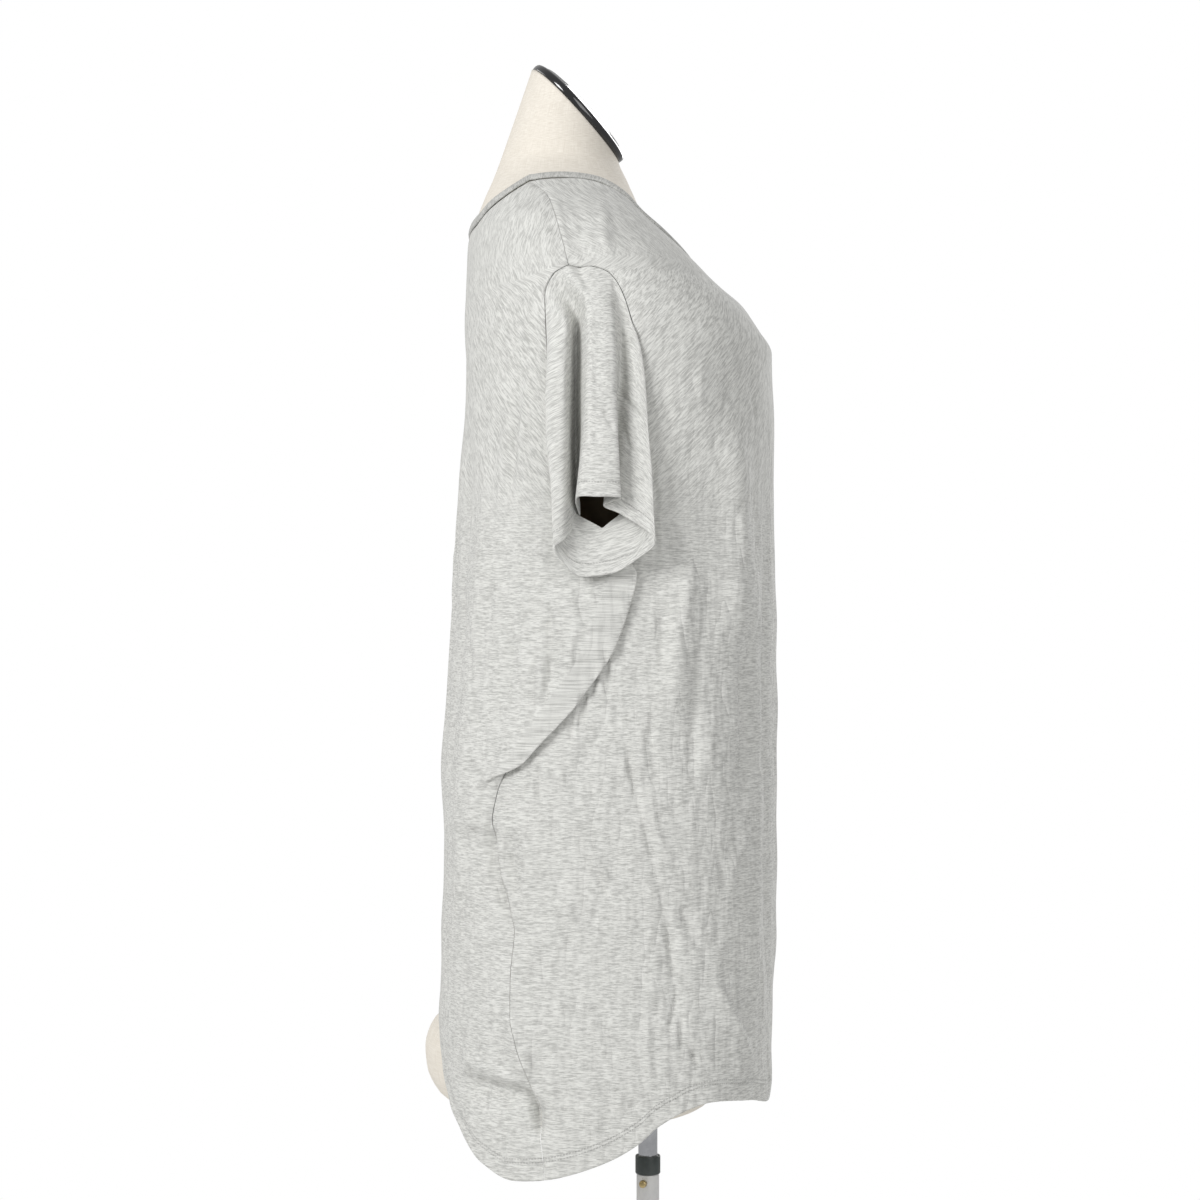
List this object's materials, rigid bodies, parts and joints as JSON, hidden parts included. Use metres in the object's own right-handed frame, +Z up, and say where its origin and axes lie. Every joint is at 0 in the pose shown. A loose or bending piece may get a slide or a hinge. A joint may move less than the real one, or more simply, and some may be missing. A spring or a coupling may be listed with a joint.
{
  "type": "nightshirt on a limbless dress form and stand",
  "caption": "Short-sleeved heather jersey nightshirt with a drooping curved hem, shown on a limbless dress form with a slanted neck cap and a pole stand on a round base.",
  "frame": {"origin": "on the floor under the pole, at the middle of the flat underside of the base", "axes": "+X the way the wearer faces, +Y the wearer's left, +Z up"},
  "size_m": [0.3792, 0.4754, 1.5071],
  "materials": {
    "jersey": "fine heather knit, matt",
    "band": "fine heather knit binding, matt",
    "linen": "smooth cream linen cover",
    "cap": "glossy black",
    "arm_plate": "plain brown",
    "chrome": "bright",
    "painted": "satin light grey",
    "collar": "satin",
    "brass": "satin"
  },
  "bodies": {
    "root": {"front_panel": "jersey", "back_panel": "jersey", "sleeve_right": "jersey", "sleeve_left": "jersey", "neck_band": "band", "dress_form": "linen", "neck_cap": "cap", "arm_plate_right": "arm_plate", "arm_plate_left": "arm_plate", "pole_upper": "chrome", "pole_collar": "collar", "thumb_screw": "brass", "pole_lower": "painted", "base": "painted"}
  },
  "joints": []
}
